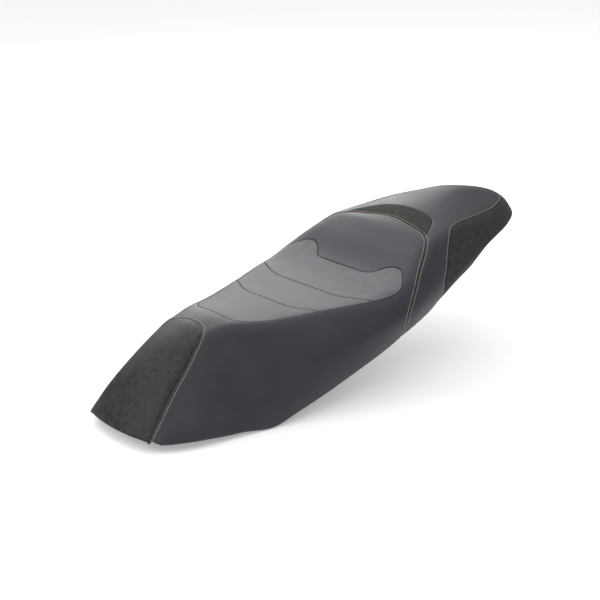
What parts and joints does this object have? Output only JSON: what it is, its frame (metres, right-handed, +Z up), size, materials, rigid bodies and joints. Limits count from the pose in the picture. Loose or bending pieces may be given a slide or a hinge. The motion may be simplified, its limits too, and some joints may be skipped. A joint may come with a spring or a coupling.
{
  "type": "scooter dual seat",
  "caption": "Padded two-level scooter seat: moulded pan, foam core, sewn cover panels with grey rider insert and piping, front hinge and rear latch hoop.",
  "frame": {"origin": "middle of the bounding box at its lowest height", "axes": "nose towards -Y, tail towards +Y, +X towards the rider's left, +Z up; the seat is stored level, as mounted"},
  "size_m": [0.316, 0.8189, 0.2356],
  "materials": {
    "charcoal_vinyl": "fine-grained satin vinyl",
    "grey_insert_vinyl": "matte grey vinyl",
    "grained_black_vinyl": "leather-grained black vinyl with a soft sheen",
    "black_suede_vinyl": "flat black suede-look vinyl",
    "black_piping": "smooth black piping",
    "moulded_foam": "open-cell moulded foam with a thin skin",
    "pan_plastic": "injection-moulded black plastic",
    "zinc_steel": "zinc plated",
    "black_steel": "black paint",
    "white_nylon": "natural nylon",
    "black_rubber": "moulded rubber"
  },
  "bodies": {
    "seat": {"nose_panel": "grained_black_vinyl", "rider_cover": "charcoal_vinyl", "rider_insert_front": "grey_insert_vinyl", "rider_insert_middle": "grey_insert_vinyl", "rider_insert_rear": "grey_insert_vinyl", "step_panel": "black_suede_vinyl", "passenger_cover": "charcoal_vinyl", "tail_panel": "black_suede_vinyl", "welt_nose": "black_piping", "welt_step": "black_piping", "welt_tail": "black_piping", "foam_core": "moulded_foam", "seat_pan": "pan_plastic", "hinge_seat_leaf": "black_steel", "hinge_pin": "zinc_steel", "hinge_retaining_ring": "zinc_steel", "hinge_bush_left": "white_nylon", "hinge_bush_right": "white_nylon", "hinge_bolt_left": "zinc_steel", "hinge_bolt_right": "zinc_steel", "striker_plate": "zinc_steel", "striker_hoop": "zinc_steel", "striker_bolt_left": "zinc_steel", "striker_bolt_right": "zinc_steel", "bumper_front_left": "black_rubber", "bumper_front_right": "black_rubber", "bumper_mid_left": "black_rubber", "bumper_mid_right": "black_rubber", "bumper_rear_left": "black_rubber", "bumper_rear_right": "black_rubber", "bumper_tail_left": "black_rubber", "bumper_tail_right": "black_rubber"},
    "frame_leaf": {"hinge_frame_leaf": "black_steel"}
  },
  "joints": [
    {"name": "front_hinge", "type": "hinge", "parent": "seat", "child": "frame_leaf", "pos_m": [0, -0.3555, 0.0199], "axis": [-1, 0, 0], "range_deg": [0, 80]}
  ]
}
